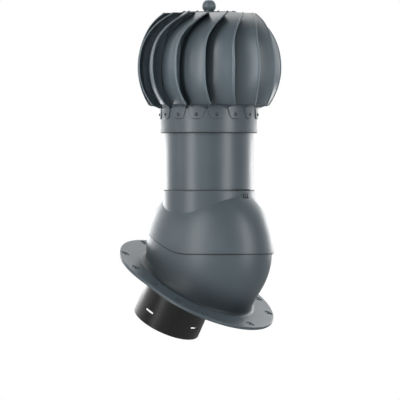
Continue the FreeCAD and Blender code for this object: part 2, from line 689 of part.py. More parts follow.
def rivet_group(label, shape, count, start):
    """Identical rivets round the upright axis, in one node."""
    item = doc.addObject("Part::Feature", label + "_group")
    copies = []
    for k in range(count):
        copy = shape.copy()
        copy.rotate(FreeCAD.Vector(), FreeCAD.Vector(0, 0, 1), start + 360.0 * k / count)
        copies.append(copy)
    item.Shape = Part.makeCompound(copies)
    return node(label, item, "mast")


def tab_rivets():
    shape = rivet(val("rivet_radius"), val("rivet_head"), val("rivet_dome"),
                  val("vane_thick + collar_wall + rivet_tail"))
    shape.rotate(FreeCAD.Vector(), Y_AXIS, 90)
    shape.translate(FreeCAD.Vector(val("tab_face + vane_thick"), 0, val("tab_rivet_height")))
    rivet_group("tab_rivets", shape, int(val("vane_count")), val("rotor_phase_angle"))


def top_rivets():
    shape = rivet(val("disc_rivet_radius"), val("disc_rivet_head"), val("disc_rivet_dome"),
                  val("disc_thick"))
    shape.translate(FreeCAD.Vector(val("disc_rivet_circle"), 0, val("disc_top")))
    rivet_group("top_rivets", shape, int(val("vane_count")), val("rotor_phase_angle + disc_rivet_angle"))


def bearing_cup():
    """Housing of the upper bearing, with a flange under the vanes' ends."""
    top = "vane_top - vane_thick / 2"
    tube = rod("cup_tube", "race_radius + cup_wall", "upper_race", top)
    rim = rod("cup_rim_form", "cup_rim", top + " - cup_rim_thick", top)
    body = fuse("cup_form", tube, rim)
    seat = rod("cup_seat", "race_radius", "upper_race", "upper_race + race_height")
    bore = rod("cup_bore", "race_split + cup_lip", "upper_race", "vane_top")
    return node("bearing_cup", cut("bearing_cup_cut", body, seat, bore), "mast")


def top_plate():
    """Disc over the ends of the vanes."""
    item = rod("top_plate_form", "disc_radius", "disc_low", "disc_top")
    drill_form = rod("top_drill_form", "disc_rivet_radius", "disc_low", "disc_top", x="disc_rivet_circle")
    drill = repeated("top_plate_drill", drill_form, int(val("vane_count")),
                     val("rotor_phase_angle + disc_rivet_angle"))
    return node("top_plate", cut("top_plate_cut", item, drill), "mast")


def ball_cap():
    """Ball-shaped cap nut over the middle of the top plate."""
    centre = "(disc_top + ball_rise)"
    ball = put("Sphere", "cap_ball", ("0", "0", centre), Radius="ball_radius")
    below = block("cap_below", ("-ball_radius", "-ball_radius", "disc_top - ball_radius"),
                  ("ball_radius", "ball_radius", "disc_top"))
    neck = rod("cap_neck", "ball_neck", "disc_top", centre)
    trimmed = cut("cap_trimmed", ball, below)
    return node("ball_cap", fuse("ball_cap_form", trimmed, neck), "mast")


def spider_rivets():
    """Rivets through the pipe into the feet of the fixed spider."""
    shape = rivet(val("spider_rivet_radius"), val("spider_rivet_head"), val("spider_rivet_dome"),
                  val("pipe_wall + spider_thick"))
    shape.rotate(FreeCAD.Vector(), Y_AXIS, 90)
    shape.translate(FreeCAD.Vector(val("pipe_radius"), 0, val("spider_height + spider_rivet_rise")))
    rivet_group("spider_rivets", shape, int(val("arm_count")), val("fixed_arm_angle"))


def placement(frame):
    """Where a frame's local origin and axes lie in the row frame."""
    tilt = FreeCAD.Rotation(Y_AXIS, val("roof_pitch_angle"))
    if frame == "base":
        return FreeCAD.Placement(FreeCAD.Vector(), tilt)
    pivot = tilt.multVec(FreeCAD.Vector(val("-pivot_upslope"), 0, val("pivot_height")))
    rise = val("neck_top") if frame == "mast" else 0
    return FreeCAD.Placement(pivot + FreeCAD.Vector(0, 0, rise), FreeCAD.Rotation())


def export():
    """Checks every object, seats the sub-parts and writes their files."""
    doc.recompute()
    for item in doc.Objects:
        if "Invalid" in item.State or "Error" in item.State:
            raise RuntimeError("%s failed: %s" % (item.Label, item.State))
    os.makedirs("parts", exist_ok=True)
    for label, item in NODES.items():
        shape = item.Shape
        if shape.isNull() or not shape.isValid():
            raise RuntimeError("%s has no valid shape" % label)
        item.Placement = placement(FRAMES[label]).multiply(item.Placement)
        item.Shape.exportStep("parts/%s.step" % label)
        print(label, len(shape.Solids), round(shape.Volume, 1))


base_shell()
duct_spigot()
floor_screws()
cowl_shell()
neck_latch()
pipe_seal()
vent_pipe()
pipe_spider()
spider_rivets()
shaft()
shaft_nuts()
bearing("lower")
bearing("upper")
rotor_collar()
rotor_spider()
vanes()
tab_rivets()
bearing_cup()
top_plate()
top_rivets()
ball_cap()
export()
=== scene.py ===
import json
import math
import bpy
import numpy as np
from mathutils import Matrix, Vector


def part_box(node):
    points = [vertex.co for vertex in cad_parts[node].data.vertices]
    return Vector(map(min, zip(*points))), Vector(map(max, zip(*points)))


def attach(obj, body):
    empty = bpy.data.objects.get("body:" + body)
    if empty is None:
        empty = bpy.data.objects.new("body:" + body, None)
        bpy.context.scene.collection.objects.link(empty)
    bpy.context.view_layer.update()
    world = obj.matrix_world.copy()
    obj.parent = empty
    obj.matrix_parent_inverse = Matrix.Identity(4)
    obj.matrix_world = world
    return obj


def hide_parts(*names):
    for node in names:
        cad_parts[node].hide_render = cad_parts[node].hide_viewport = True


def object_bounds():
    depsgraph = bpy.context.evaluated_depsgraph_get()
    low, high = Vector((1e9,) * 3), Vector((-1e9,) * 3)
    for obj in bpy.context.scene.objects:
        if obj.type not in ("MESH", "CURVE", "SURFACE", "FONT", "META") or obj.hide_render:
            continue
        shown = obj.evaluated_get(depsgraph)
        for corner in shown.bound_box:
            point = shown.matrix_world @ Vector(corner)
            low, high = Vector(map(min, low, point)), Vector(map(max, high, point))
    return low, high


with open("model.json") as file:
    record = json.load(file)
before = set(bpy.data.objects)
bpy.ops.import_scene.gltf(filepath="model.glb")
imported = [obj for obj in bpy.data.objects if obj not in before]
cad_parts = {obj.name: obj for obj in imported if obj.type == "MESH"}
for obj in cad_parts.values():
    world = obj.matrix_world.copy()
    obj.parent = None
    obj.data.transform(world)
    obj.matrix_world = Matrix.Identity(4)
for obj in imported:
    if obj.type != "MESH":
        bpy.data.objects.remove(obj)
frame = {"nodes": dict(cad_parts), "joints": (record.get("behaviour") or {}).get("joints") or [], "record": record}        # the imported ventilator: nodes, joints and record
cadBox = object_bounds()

nodes = frame["nodes"]
print("frame loaded:", len(nodes), "nodes")

# pieces are worked out in millimetres from the tilt's pivot or the mast, the neck's top on the rotor's axis
mm = 0.001
tilt = [joint for joint in frame["joints"] if joint["name"] == "tilt"][0]
pivot = np.array(tilt["pos_m"])
mast = np.array([pivot[0], pivot[1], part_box("pipe_seal")[0][2]])


# Finishes: noise scales in 1/m, gloss as the change of roughness, bump depth in metres

graphite = (0.062, 0.082, 0.095)
moulded = {"drift": 9.0, "gloss": (-0.05, 0.06), "bump": 0.10, "bumpDepth": 0.0004}
coat = {"drift": 14.0, "spread": 0.06, "peel": 420.0, "gloss": (-0.04, 0.05), "bump": 0.06,
        "bumpDepth": 0.0004}
metal = {"marks": 160.0, "gloss": (-0.08, 0.12), "bump": 0.12, "bumpDepth": 0.0003}
# painted shade in the crease over the flange: the roof's normal, heights in metres where it starts and fades,
# its depth and the specular level kept there
crease = {"roofNormal": (0.5, 0, 0.866), "start": (0.00505, 0.0056), "fade": (0.011, 0.065), "depth": 0.64,
          "specular": 0.5}


# Principled material with its constants on the shader's own sockets
def newMaterial(name, colour, roughness, metallic=0.0):
    mat = bpy.data.materials.new(name)
    mat.use_nodes = True
    shader = mat.node_tree.nodes["Principled BSDF"]
    shader.inputs["Base Color"].default_value = (*colour, 1)
    shader.inputs["Roughness"].default_value = roughness
    shader.inputs["Metallic"].default_value = metallic
    return mat, mat.node_tree, shader


def addNode(tree, kind, **values):
    node = tree.nodes.new("ShaderNode" + kind)
    for key, value in values.items():
        if key in node.inputs:
            node.inputs[key].default_value = value
        else:
            setattr(node, key, value)
    return node


# Sum, difference or product of two terms, each a number or another node's output
def maths(tree, operation, *terms):
    node = addNode(tree, "Math", operation=operation)
    for socket, term in zip(node.inputs, terms):
        if isinstance(term, float):
            socket.default_value = term
        else:
            tree.links.new(term, socket)
    return node.outputs[0]


# Factor carried smoothly from one range to another
def smoothRange(tree, factor, start, end, low, high):
    spread = addNode(tree, "MapRange", interpolation_type="SMOOTHSTEP")
    for socket, value in zip(("From Min", "From Max", "To Min", "To Max"), (start, end, low, high)):
        spread.inputs[socket].default_value = value
    tree.links.new(factor, spread.inputs["Value"])
    return spread.outputs["Result"]


# Noise on Object coordinates
def noiseOn(tree, scale, detail, stretch=(1, 1, 1)):
    coords = addNode(tree, "TexCoord")
    mapping = addNode(tree, "Mapping")
    mapping.inputs["Scale"].default_value = stretch
    noise = addNode(tree, "TexNoise", Scale=scale, Detail=detail)
    tree.links.new(coords.outputs["Object"], mapping.inputs["Vector"])
    tree.links.new(mapping.outputs["Vector"], noise.inputs["Vector"])
    return noise.outputs["Fac"]


# Base colour running between a darker and a lighter tone by a factor
def mixTones(tree, shader, factor, tone, spread):
    ramp = addNode(tree, "ValToRGB")
    for element, place, change in zip(ramp.color_ramp.elements, (0.3, 0.7), (1 - spread, 1 + spread)):
        element.position = place
        element.color = (*[c * change for c in tone], 1)
    tree.links.new(factor, ramp.inputs["Fac"])
    tree.links.new(ramp.outputs["Color"], shader.inputs["Base Color"])
    return ramp.outputs["Color"]


# Base colour times a factor
def scaleTones(tree, shader, tones, factor):
    toned = addNode(tree, "VectorMath", operation="SCALE")
    tree.links.new(tones, toned.inputs[0])
    tree.links.new(factor, toned.inputs["Scale"])
    tree.links.new(toned.outputs[0], shader.inputs["Base Color"])


def varyGloss(tree, shader, factor, roughness, gloss):
    spread = addNode(tree, "MapRange")
    spread.inputs["To Min"].default_value = roughness + gloss[0]
    spread.inputs["To Max"].default_value = roughness + gloss[1]
    tree.links.new(factor, spread.inputs["Value"])
    tree.links.new(spread.outputs["Result"], shader.inputs["Roughness"])


def bumpFrom(tree, shader, height, look):
    bump = addNode(tree, "Bump", Strength=look["bump"], Distance=look["bumpDepth"])
    tree.links.new(height, bump.inputs["Height"])
    tree.links.new(bump.outputs["Normal"], shader.inputs["Normal"])


# Painted shade standing in for the shadow in the crease, deepest just over the flange and fading up the wall,
# by the height over the roof; the specular level drops with it
def shadeCrease(tree, shader, tones):
    coords = addNode(tree, "TexCoord")
    height = addNode(tree, "VectorMath", operation="DOT_PRODUCT")
    height.inputs[1].default_value = crease["roofNormal"]
    tree.links.new(coords.outputs["Object"], height.inputs[0])
    start = smoothRange(tree, height.outputs["Value"], *crease["start"], 0.0, 1.0)
    fade = smoothRange(tree, height.outputs["Value"], *crease["fade"], crease["depth"], 0.0)
    keep = maths(tree, "SUBTRACT", 1.0, maths(tree, "MULTIPLY", start, fade))
    scaleTones(tree, shader, tones, keep)
    tree.links.new(maths(tree, "MULTIPLY", keep, crease["specular"]), shader.inputs["Specular IOR Level"])


# Moulded plastic: a fine spark-eroded grain, slow colour drift and uneven gloss, and with creaseShade a
# painted shade in the crease over the flange
def mouldedPlastic(name, tone, spread, roughness, grain, creaseShade=False):
    mat, tree, shader = newMaterial(name, tone, roughness)
    drift = noiseOn(tree, moulded["drift"], 2.0)
    tones = mixTones(tree, shader, drift, tone, spread)
    if creaseShade:
        shadeCrease(tree, shader, tones)
    varyGloss(tree, shader, drift, roughness, moulded["gloss"])
    bumpFrom(tree, shader, noiseOn(tree, grain, 4.0), moulded)
    return mat


# Satin powder coat: soft orange peel, a faint flow, and a tone scale kept in the sheet's own attribute, which
# on the vanes is painted light and painted shade
def powderCoat(name, tone, roughness):
    mat, tree, shader = newMaterial(name, tone, roughness)
    drift = noiseOn(tree, coat["drift"], 2.0)
    tones = mixTones(tree, shader, drift, tone, coat["spread"])
    lift = addNode(tree, "Attribute", attribute_name="paintedLightAndTone")
    scaleTones(tree, shader, tones, maths(tree, "ADD", lift.outputs["Fac"], 1.0))
    varyGloss(tree, shader, drift, roughness, coat["gloss"])
    bumpFrom(tree, shader, noiseOn(tree, coat["peel"], 2.0), coat)
    return mat


# Turned or rolled metal with fine marks one way
def bareMetal(name, tone, roughness, stretch):
    mat, tree, shader = newMaterial(name, tone, roughness, 1.0)
    marks = noiseOn(tree, metal["marks"], 4.0, stretch)
    varyGloss(tree, shader, marks, roughness, metal["gloss"])
    bumpFrom(tree, shader, marks, metal)
    return mat


finishes = {
    "anthracite_plastic": mouldedPlastic("shellPlastic", graphite, 0.05, 0.40, 900.0),
    "base_plastic": mouldedPlastic("basePlastic", graphite, 0.05, 0.40, 900.0, creaseShade=True),
    "black_plastic": mouldedPlastic("spigotPlastic", (0.005, 0.005, 0.0055), 0.10, 0.30, 700.0),
    "anthracite_paint": powderCoat("sheetPaint", graphite, 0.36),
    # rivet heads in a darker copy of the sheet's paint: painted shade for the dark heads
    "painted_rivet": powderCoat("rivetPaintShaded", (0.030, 0.037, 0.042), 0.24),
    "steel": bareMetal("turnedSteel", (0.56, 0.56, 0.57), 0.30, (1, 1, 30)),
    "aluminium": bareMetal("millAluminium", (0.66, 0.67, 0.68), 0.38, (1, 14, 1)),
    "seal_rubber": mouldedPlastic("sealRubber", (0.018, 0.018, 0.018), 0.1, 0.62, 1200.0),
}
for part in frame["record"]["subparts"]:
    slots = nodes[part["node"]].data.materials
    slots.clear()
    slots.append(finishes["base_plastic" if part["node"] == "base_shell" else part["material_slot"]])
print("materials on the frame")


# Points from a radius, an azimuth in radians and a height
def polar(radius, azimuth, height):
    return np.stack(np.broadcast_arrays(radius * np.cos(azimuth), radius * np.sin(azimuth), height), -1)


# Closed mesh from a grid of points (rows, columns, 3): the columns run round, and the rows end in poles, meet
# each other or end in flat caps. The sign of the enclosed volume turns the faces outward.
def gridObject(name, points, body="rotor", finish="anthracite_paint", poles=False, closedAlong=False,
               flatEnds=False):
    rows, cols = points.shape[:2]
    grid = np.arange(rows * cols).reshape(rows, cols)
    if poles:
        grid[0], grid[-1] = grid[0, 0], grid[-1, 0]
    loop = np.concatenate([grid, grid[:, :1]], axis=1)
    if closedAlong:
        loop = np.concatenate([loop, loop[:1]])
    quads = np.stack([loop[:-1, :-1], loop[:-1, 1:], loop[1:, 1:], loop[1:, :-1]], axis=-1).reshape(-1, 4)
    if flatEnds:
        # the two skins of a sheet meet column by column at its ends
        front, back = np.arange(cols // 2 - 1), cols - 1 - np.arange(cols // 2 - 1)
        ends = [grid[row][np.stack([front, back, back - 1, front + 1], -1)] for row in (0, -1)]
        quads = np.concatenate([quads, ends[0], ends[1][:, ::-1]])
    used, order = np.unique(quads, return_inverse=True)
    order = order.reshape(-1, 4)
    vertices = points.reshape(-1, 3)[used]
    corner = vertices[order] - vertices.mean(axis=0)
    facing = np.cross(corner[:, 2] - corner[:, 0], corner[:, 3] - corner[:, 1])
    if (facing * corner.mean(axis=1)).sum() < 0:
        order = order[:, ::-1]
    mesh = bpy.data.meshes.new(name)
    mesh.from_pydata(vertices.tolist(), [], [list(dict.fromkeys(face)) for face in order.tolist()])
    mesh.polygons.foreach_set("use_smooth", np.ones(len(order), bool))
    mesh.update()
    obj = bpy.data.objects.new(name, mesh)
    bpy.context.scene.collection.objects.link(obj)
    obj.data.materials.append(finishes[finish])
    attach(obj, body)
    return obj


# Scale of the paint's tone at each point of a mesh, read by the powder coat: painted highlight and painted
# shade on the vanes, a plain lift on the ball cap
def liftTone(obj, values):
    lift = obj.data.attributes.new("paintedLightAndTone", "FLOAT", "POINT")
    lift.data.foreach_set("value", values)


# Vanes: lengths in millimetres, heights from the mast, angles in degrees, the same form as the frame's vanes
vaneSheet = {
    "count": 15, "phase": -41.0, "thick": 0.8,
    # globe that the free edges follow, and the blade's lowest and highest line
    "globeRadius": 129.0, "globeHeight": 125.0, "globeCentre": 222.0, "bottom": 154.0, "top": 317.5,
    # sweep: angle spanned from free edge to root, and how far the ends run ahead
    "span": 27.0, "midLead": 12.0, "topLead": 27.0, "topPower": 4.0, "bottomLead": 5.0, "bottomPower": 3.0,
    # how far the root lies inside the globe
    "inset": 24.0, "insetPower": 1.15, "endInset": 0.8, "topInset": 10.0, "topInsetPower": 3,
    # rolled hem: its width, its rise and its points across, in widths
    "hemWidth": 4.6, "hemProud": 1.3, "hemPower": 4.0, "hemPoints": (0, 0.15, 0.5, 0.85, 1, 1.12),
    "hemEnd": 1.5,
    # tab on the collar with its arched fold
    "collar": 86.2, "tabTop": 146.5, "tabHeight": 18.8, "tabWide": 32.6, "tabNarrow": 20.0, "tabCorner": 4.0,
    "tabEase": 1.5, "tabProud": 0.9, "foldRise": 5.6,
    # petal under the top plate
    "petalInner": 34.0, "petalGap": 0.5, "petalRise": 0.3,
    # points across the sheet, and rows of the tab, the shoulder over it, the blade and the petal
    "across": 26, "tabRows": 12, "shoulderRows": 4, "along": 56, "petalRows": 9,
    # painted light and shade: a painted highlight on the hem, lifted faces (the inner one as if lit through
    # the gaps), and painted shade in the pocket behind the next vane and at the blade's ends
    "hemPaintedHighlight": 0.85, "innerPaintedLight": 0.85, "outerPaintedLightShade": 0.42, "pocketStart": 0.25, "pocketLow": 0.7,
    "pocketHigh": 1.15, "topShade": 0.72, "lowShade": 0.3, "endPower": 5,
}


# Blade: the radius falls from the globe at the free edge to the inset root, the angle turns by the span,
# and both ends lead round as the height leaves the globe's middle
def bladeGrid(across, along):
    v = vaneSheet
    u, share = np.meshgrid(across, along)
    z = v["bottom"] + (v["top"] - v["bottom"]) * share
    globe = v["globeRadius"] * np.sqrt(1 - ((z - v["globeCentre"]) / v["globeHeight"]) ** 2)
    below = ((v["globeCentre"] - z) / (v["globeCentre"] - v["bottom"])).clip(0)
    above = ((z - v["globeCentre"]) / (v["top"] - v["globeCentre"])).clip(0)
    lead = v["midLead"] + v["bottomLead"] * below ** v["bottomPower"] + v["topLead"] * above ** v["topPower"]
    inset = v["inset"] * (v["endInset"] + (1 - v["endInset"]) * np.sin(np.pi * share))
    inset += v["topInset"] * share ** v["topInsetPower"]
    return polar(globe - inset * u ** v["insetPower"], np.radians(lead - v["span"] * u), z)


# Tab: half its width grows up the collar from a rounded lower edge, and the fold over it arches up
def tabGrid(side):
    v = vaneSheet
    radius = v["collar"] + v["thick"]
    z = v["tabTop"] - v["tabHeight"] * (1 - np.linspace(0, 1, v["tabRows"])) ** v["tabEase"]
    rise = z - v["tabTop"] + v["tabHeight"]
    half = 0.5 * (v["tabNarrow"] + (v["tabWide"] - v["tabNarrow"]) * rise / v["tabHeight"])
    corner = (v["tabCorner"] - rise).clip(0)
    half -= v["tabCorner"] - np.sqrt((v["tabCorner"] ** 2 - corner ** 2).clip(0))
    tab = polar(radius, side * half[:, None] / radius, z[:, None])
    tab[..., 2] += v["foldRise"] * (1 - side ** 2) * np.linspace(0, 1, v["tabRows"])[:, None] ** 2
    return tab


# Whole sheet in rows from the tab's lower edge over the shoulder and the blade to the petal's inner edge
def vaneGrid():
    v = vaneSheet
    hem = v["hemWidth"] / (math.radians(v["span"]) * v["globeRadius"])
    edge = hem * np.array(v["hemPoints"])
    across = np.concatenate([edge, np.linspace(v["hemEnd"] * hem, 1, v["across"] - len(edge))])
    blade = bladeGrid(across, 0.5 - 0.5 * np.cos(np.pi * np.linspace(0, 1, v["along"])))
    tab = tabGrid(1 - 2 * across)
    shoulder = tab[-1] + (blade[0] - tab[-1]) * np.linspace(0, 1, v["shoulderRows"] + 2)[1:-1, None, None]
    rim = blade[-1]
    root = np.arctan2(rim[-1, 1], rim[-1, 0])
    petalEnd = root + (1 - across) * math.radians(360 / v["count"] - v["petalGap"])
    inner = polar(v["petalInner"], petalEnd, v["top"] + v["petalRise"])
    petal = rim + (inner - rim) * np.linspace(0, 1, v["petalRows"] + 1)[1:, None, None]
    petal[..., 2] = v["top"] + v["petalRise"]
    return np.concatenate([tab, shoulder, blade, petal]), across, hem


# Outer and inner skins of a sheet, joined all round, with the painted light and shade of each point: the
# inner skin lies one thickness down the surface normal, and the hem and the tab stand proud of the outer skin
def sheetSolid(grid, across, hem):
    v = vaneSheet
    normal = np.cross(np.gradient(grid, axis=0), np.gradient(grid, axis=1))
    normal /= np.linalg.norm(normal, axis=-1, keepdims=True)
    normal *= np.sign((normal * grid * [1, 1, 0.0]).sum(-1).mean())
    bead = v["hemProud"] * (1 - np.abs(2 * across / hem - 1).clip(0, 1) ** v["hemPower"])
    # painted shade in the pocket behind the next vane, deeper up the blade, and at the blade's top and
    # bottom; a painted highlight on the hem and a painted lift on the outer face
    pocket = ((across - v["pocketStart"]) / (1 - v["pocketStart"])).clip(0, 1)
    rise = ((grid[..., 2] - v["bottom"]) / (v["top"] - v["bottom"])).clip(0, 1)
    shade = pocket[None, :] * (v["pocketLow"] + (v["pocketHigh"] - v["pocketLow"]) * rise ** 2)
    outerPaintedLightShade = np.where(across <= 1.01 * hem, v["hemPaintedHighlight"], v["outerPaintedLightShade"])[None, :] - shade
    ends = v["topShade"] * rise ** v["endPower"] + v["lowShade"] * (1 - rise) ** v["endPower"]
    outerPaintedLightShade -= (1 + outerPaintedLightShade) * ends
    # the hem and the painted light and shade stop short of the tab and the petal
    blade = np.ones((len(grid), 1))
    blade[:v["tabRows"] + v["shoulderRows"] - 1] = 0
    blade[-v["petalRows"] - 1:] = 0
    proud = bead[None, :] * blade
    proud[:v["tabRows"]] = v["tabProud"]
    proud[v["tabRows"]] = v["tabProud"] / 2
    outer = grid + normal * proud[..., None]
    inner = grid - normal * v["thick"]
    tones = np.concatenate([outerPaintedLightShade * blade, np.full_like(outerPaintedLightShade, v["innerPaintedLight"])], axis=1)
    return np.concatenate([outer, inner[:, ::-1]], axis=1), tones


def makeVanes():
    loop, tones = sheetSolid(*vaneGrid())
    for k in range(vaneSheet["count"]):
        turn = math.radians(vaneSheet["phase"] + 360.0 * k / vaneSheet["count"])
        c, s = math.cos(turn), math.sin(turn)
        spin = np.array([[c, -s, 0], [s, c, 0], [0, 0, 1]])
        sheet = gridObject("vaneSheet_%02d" % (k + 1), (loop @ spin.T) * mm + mast, flatEnds=True)
        liftTone(sheet, tones.ravel())
        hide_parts("vane_%02d" % (k + 1))


makeVanes()
print("vanes made")


# Rivets in millimetres: one domed head on a thin flange, used on the tabs and on the top plate
rivetHead = {"flange": 3.3, "flangeThick": 0.5, "bevel": (0.3, 0.25), "dome": 2.5, "domeRise": 1.9,
             "hole": 1.9, "seat": 0.05, "bends": 8, "around": 28}
tabRivets = {"face": 87.7, "height": 135.8, "angle": 0.0, "shank": 3.4, "scale": 1.0}
plateRivets = {"circle": 46.0, "height": 319.9, "angle": 12.0, "shank": 1.9, "scale": 0.8}


# Outline from the axis over the dome and the flange down to the shank's end
def rivetProfile(kind):
    r = rivetHead
    bend = np.linspace(0, np.pi / 2, r["bends"])
    dome = np.stack([r["dome"] * np.sin(bend), r["flangeThick"] + r["domeRise"] * np.cos(bend)], -1)
    rim = np.array([[r["flange"] - r["bevel"][0], r["flangeThick"]],
                    [r["flange"], r["flangeThick"] - r["bevel"][1]], [r["flange"], 0.0]])
    hole = r["hole"] * kind["scale"]
    stem = np.array([[hole, -r["seat"]], [hole, -kind["shank"]], [0.0, -kind["shank"]]])
    return np.concatenate([np.concatenate([dome, rim]) * kind["scale"], stem])


# Rivet swept round a unit vector that runs out of its seat
def rivetAt(name, seat, out, profile, node):
    turn = np.linspace(0, 2 * np.pi, rivetHead["around"], endpoint=False)
    side = np.cross(out, [0.3, 0.5, 0.8])
    side /= np.linalg.norm(side)
    ring = np.cos(turn)[:, None] * side + np.sin(turn)[:, None] * np.cross(out, side)
    points = seat + profile[:, 1][:, None, None] * out + profile[:, 0][:, None, None] * ring[None]
    head = gridObject(name, points * mm + mast, finish="painted_rivet", poles=True)
    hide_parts(node)


def makeRivets():
    tabProfile, plateProfile = rivetProfile(tabRivets), rivetProfile(plateRivets)
    for k in range(vaneSheet["count"]):
        pitch = vaneSheet["phase"] + 360.0 * k / vaneSheet["count"]
        azimuth = math.radians(pitch + tabRivets["angle"])
        seat = polar(tabRivets["face"], azimuth, tabRivets["height"])
        rivetAt("tabRivet_%02d" % (k + 1), seat, polar(1.0, azimuth, 0.0), tabProfile, "tab_rivets")
        azimuth = math.radians(pitch + plateRivets["angle"])
        seat = polar(plateRivets["circle"], azimuth, plateRivets["height"])
        rivetAt("plateRivet_%02d" % (k + 1), seat, np.array([0.0, 0.0, 1.0]), plateProfile, "top_rivets")


makeRivets()
print("rivets made")


# Turned pieces of the rotor in millimetres: the ball cap, and a dark rubber ring under the collar that stands
# in as painted shade for the shadow there
ballCap = {"base": 319.9, "neck": 7.4, "neckEase": (0.3, 0.6), "radius": 12.4, "centre": 330.3, "flat": 3.2,
           "bends": 40, "around": 72, "lift": 0.35}
shadowRing = {"inner": 81.2, "outer": 85.9, "low": 103.0, "high": 105.6, "around": 180}


# Surface swept by a profile of radius and height round the upright axis
def turnedPiece(name, profile, around, finish, **ends):
    angle = np.linspace(0, 2 * np.pi, around, endpoint=False)
    points = polar(profile[:, :1], angle, profile[:, 1:])
    return gridObject(name, points * mm + mast, finish=finish, **ends)


# Outline from the axis over a small flat on top, round the ball and down its neck
def ballProfile():
    b = ballCap
    start, end = math.asin(b["flat"] / b["radius"]), math.pi - math.asin(b["neck"] / b["radius"])
    bend = np.linspace(start, end, b["bends"])
    ball = np.stack([b["radius"] * np.sin(bend), b["centre"] + b["radius"] * np.cos(bend)], -1)
    top = np.array([[0.0, ball[0, 1]]])
    foot = np.array([[b["neck"] - b["neckEase"][0], ball[-1, 1] - b["neckEase"][1]], [b["neck"], b["base"]],
                     [0.0, b["base"]]])
    return np.concatenate([top, ball, foot])


def makeTurnedPieces():
    cap = turnedPiece("ballCapSkin", ballProfile(), ballCap["around"], "anthracite_paint", poles=True)
    liftTone(cap, np.full(len(cap.data.vertices), ballCap["lift"]))
    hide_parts("ball_cap")
    # dark ring under the collar: painted shade for the shadow beneath its hem
    r = shadowRing
    corners = np.array([[r["inner"], r["high"]], [r["inner"], r["low"]], [r["outer"], r["low"]],
                        [r["outer"], r["high"]]])
    turnedPiece("collarShadowRing", corners, r["around"], "seal_rubber", closedAlong=True)


makeTurnedPieces()
print("turned pieces made")


# Skirt shadow: a dark strip in the gap under the skirt's edge, standing in as painted shade for the shadow
# there, in millimetres from the pivot, riding on the cowl
skirtShadow = {"radius": 127.5, "side": 96.5, "inner": 2.75, "outer": 0.7, "below": 1.5, "above": 1.5,
         "drop": 5.0, "rise": 22.0, "corner": 120.0, "downslope": 5.0, "around": 240, "rounds": 40}


# Height of the skirt's edge: level down the roof, a wide arc, then rising up the roof
def skirtHeight(x):
    angle, radius = math.radians(skirtShadow["rise"]), skirtShadow["corner"]
    tangent = radius * math.tan(angle / 2)
    start = skirtShadow["downslope"] + tangent
    end = skirtShadow["downslope"] - tangent * math.cos(angle)
    arc = radius - np.sqrt(radius ** 2 - (x - start).clip(-radius, 0) ** 2)
    line = tangent * math.sin(angle) + (end - x) * math.tan(angle)
    return np.where(x > start, 0.0, np.where(x < end, line, arc)) - skirtShadow["drop"]


# Points where the cowl's ellipsoid, thinned by an inset, meets the skirt's edge moved up by a lift, found
# by putting the height back into the ellipsoid's equation until it settles
def onShell(inset, lift):
    turn = np.linspace(0, 2 * np.pi, skirtShadow["around"], endpoint=False)
    a, b = skirtShadow["radius"] - inset, skirtShadow["side"] - inset
    share = np.ones_like(turn)
    for _ in range(skirtShadow["rounds"]):
        share = np.sqrt(1 - (skirtHeight(share * a * np.cos(turn)) + lift) ** 2 / a ** 2)
    x, y = share * a * np.cos(turn), share * b * np.sin(turn)
    return np.stack([x, y, skirtHeight(x) + lift], -1)


def makeSkirtShadow():
    w = skirtShadow
    corners = [(w["inner"], w["above"]), (w["inner"], -w["below"]), (w["outer"], -w["below"]),
               (w["outer"], w["above"])]
    ring = np.array([onShell(*corner) for corner in corners])
    # dark strip under the skirt's edge: painted shade for the shadow line
    gridObject("skirtShadowStrip", ring * mm + pivot, body="cowl", finish="seal_rubber", closedAlong=True)


makeSkirtShadow()
print("wiper made")


# Small blocks curved round the mast, in millimetres and degrees: teeth on the neck's joint, two uprights in
# the latch, and the feet that join the rotor's arms to the collar
neckTeeth = {"count": 7, "first": -19.0, "last": 15.0, "wide": 2.6, "inner": 80.15, "outer": 82.4,
             "low": 0.05, "high": 2.3, "body": "cowl", "finish": "black_plastic"}
latchPads = {"gap": 1.8, "reach": 4.2, "inner": 81.95, "outer": 82.25, "low": -12.6, "high": -6.0,
             "body": "cowl", "finish": "black_plastic"}
armFeet = {"count": 3, "first": 30.0, "wide": 10.6, "inner": 84.2, "outer": 85.4, "low": 138.5, "high": 149.0,
           "body": "rotor", "finish": "steel"}
blockSteps = 6


# Block between two radii and two heights of a kind, swept from one azimuth to another
def curvedBlock(name, kind, ends):
    azimuth = np.radians(np.linspace(*ends, blockSteps))[:, None]
    radius = np.array([kind["inner"], kind["inner"], kind["outer"], kind["outer"]])
    height = np.array([kind["low"], kind["high"], kind["high"], kind["low"]])
    block = gridObject(name, polar(radius, azimuth, height) * mm + mast, body=kind["body"],
                       finish=kind["finish"], flatEnds=True)
    block.data.polygons.foreach_set("use_smooth", np.zeros(len(block.data.polygons), bool))


def makeBlocks():
    teeth = np.linspace(neckTeeth["first"], neckTeeth["last"], neckTeeth["count"])
    for k, azimuth in enumerate(teeth):
        half = neckTeeth["wide"] / 2
        curvedBlock("neckTooth_%d" % (k + 1), neckTeeth, (azimuth - half, azimuth + half))
    for k, side in enumerate((-1, 1)):
        ends = sorted(math.degrees(side * latchPads[edge] / latchPads["outer"]) for edge in ("gap", "reach"))
        curvedBlock("latchPad_%d" % (k + 1), latchPads, ends)
    for k in range(armFeet["count"]):
        azimuth, half = armFeet["first"] + 360.0 * k / armFeet["count"], armFeet["wide"] / 2
        curvedBlock("armFoot_%d" % (k + 1), armFeet, (azimuth - half, azimuth + half))


makeBlocks()
print("blocks made")


